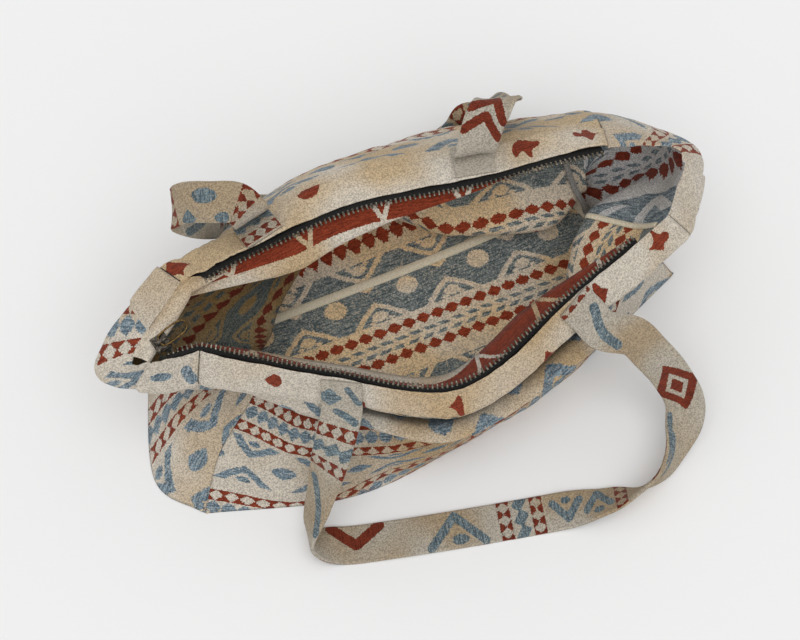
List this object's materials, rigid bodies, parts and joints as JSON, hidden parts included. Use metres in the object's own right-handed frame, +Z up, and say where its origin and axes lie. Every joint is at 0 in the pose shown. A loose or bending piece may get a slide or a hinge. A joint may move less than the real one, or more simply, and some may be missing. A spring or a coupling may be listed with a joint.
{
  "type": "tote bag",
  "caption": "Soft woven zip-top tote bag standing open and slumped, with shoulder straps, a metal-tooth zip, bound inside seams and a wire zip pull.",
  "frame": {"origin": "middle of the bag's base, on the floor under the front panel's flat bottom", "axes": "+X along the bag to its right end as seen from the front, +Y to the back, +Z up"},
  "size_m": [0.5089, 0.3792, 0.2078],
  "materials": {
    "cloth": "woven, matt",
    "strap": "woven, matt",
    "facing": "woven, matt",
    "binding": "fine ribbed tape",
    "zip": "tape with a row of teeth",
    "slider": "dark, satin",
    "pull": "bright wire"
  },
  "bodies": {
    "bag": {"front_panel": "cloth", "back_panel": "cloth", "left_end_panel": "cloth", "right_end_panel": "cloth", "base_seam_binding": "binding", "left_end_seam_binding": "binding", "right_end_seam_binding": "binding", "zip_facing_front": "facing", "zip_facing_back": "facing", "zip_chain_front": "zip", "zip_chain_back": "zip", "zip_slider": "slider", "front_handle": "strap", "back_handle": "strap"},
    "pull": {"zip_pull": "pull"}
  },
  "joints": [
    {"name": "zip_pull_hinge", "type": "hinge", "parent": "bag", "child": "pull", "pos_m": [-0.21282, -0.03162, 0.13616], "axis": [0.2171, -0.9572, -0.1913], "range_deg": [0, 115]}
  ]
}
